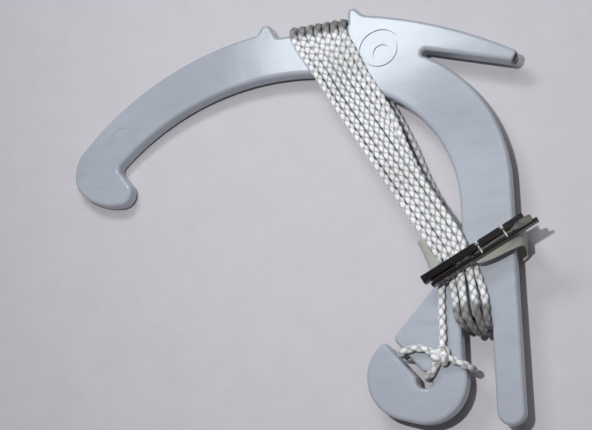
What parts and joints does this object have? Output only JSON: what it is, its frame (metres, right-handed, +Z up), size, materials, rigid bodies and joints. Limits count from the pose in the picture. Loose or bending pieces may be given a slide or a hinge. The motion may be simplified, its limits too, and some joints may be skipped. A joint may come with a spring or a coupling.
{
  "type": "sock aid",
  "caption": "Flat hooked dressing aid with a pull cord wound on it, a lashed cord end and an elastic keeper that slides along the leg.",
  "frame": {"origin": "bottom centre of the object as it lies on its back, measured without the cord", "axes": "+X towards the leg, from the hook; +Y towards the arm and the seat of the cord; +Z up, out of the frame's front face"},
  "size_m": [0.1682, 0.1436, 0.0203],
  "materials": {
    "frame_plastic": "satin moulded plastic",
    "cord": "braided cord",
    "elastic": "woven elastic",
    "jaw_plastic": "black",
    "rivet_metal": "bright"
  },
  "bodies": {
    "holder": {"frame": "frame_plastic", "cord_winding": "cord", "cord_tail": "cord", "lashing_loop": "cord", "lashing_end": "cord", "lashing_knot": "cord"},
    "keeper": {"keeper_band": "elastic", "keeper_jaw_upper": "jaw_plastic", "keeper_jaw_lower": "jaw_plastic", "keeper_rivets": "rivet_metal"}
  },
  "joints": [
    {"name": "keeper_slide", "type": "slide", "parent": "holder", "child": "keeper", "axis": [-0.512, 0.8585, -0.0296], "range_m": [0, 0.0032]}
  ]
}
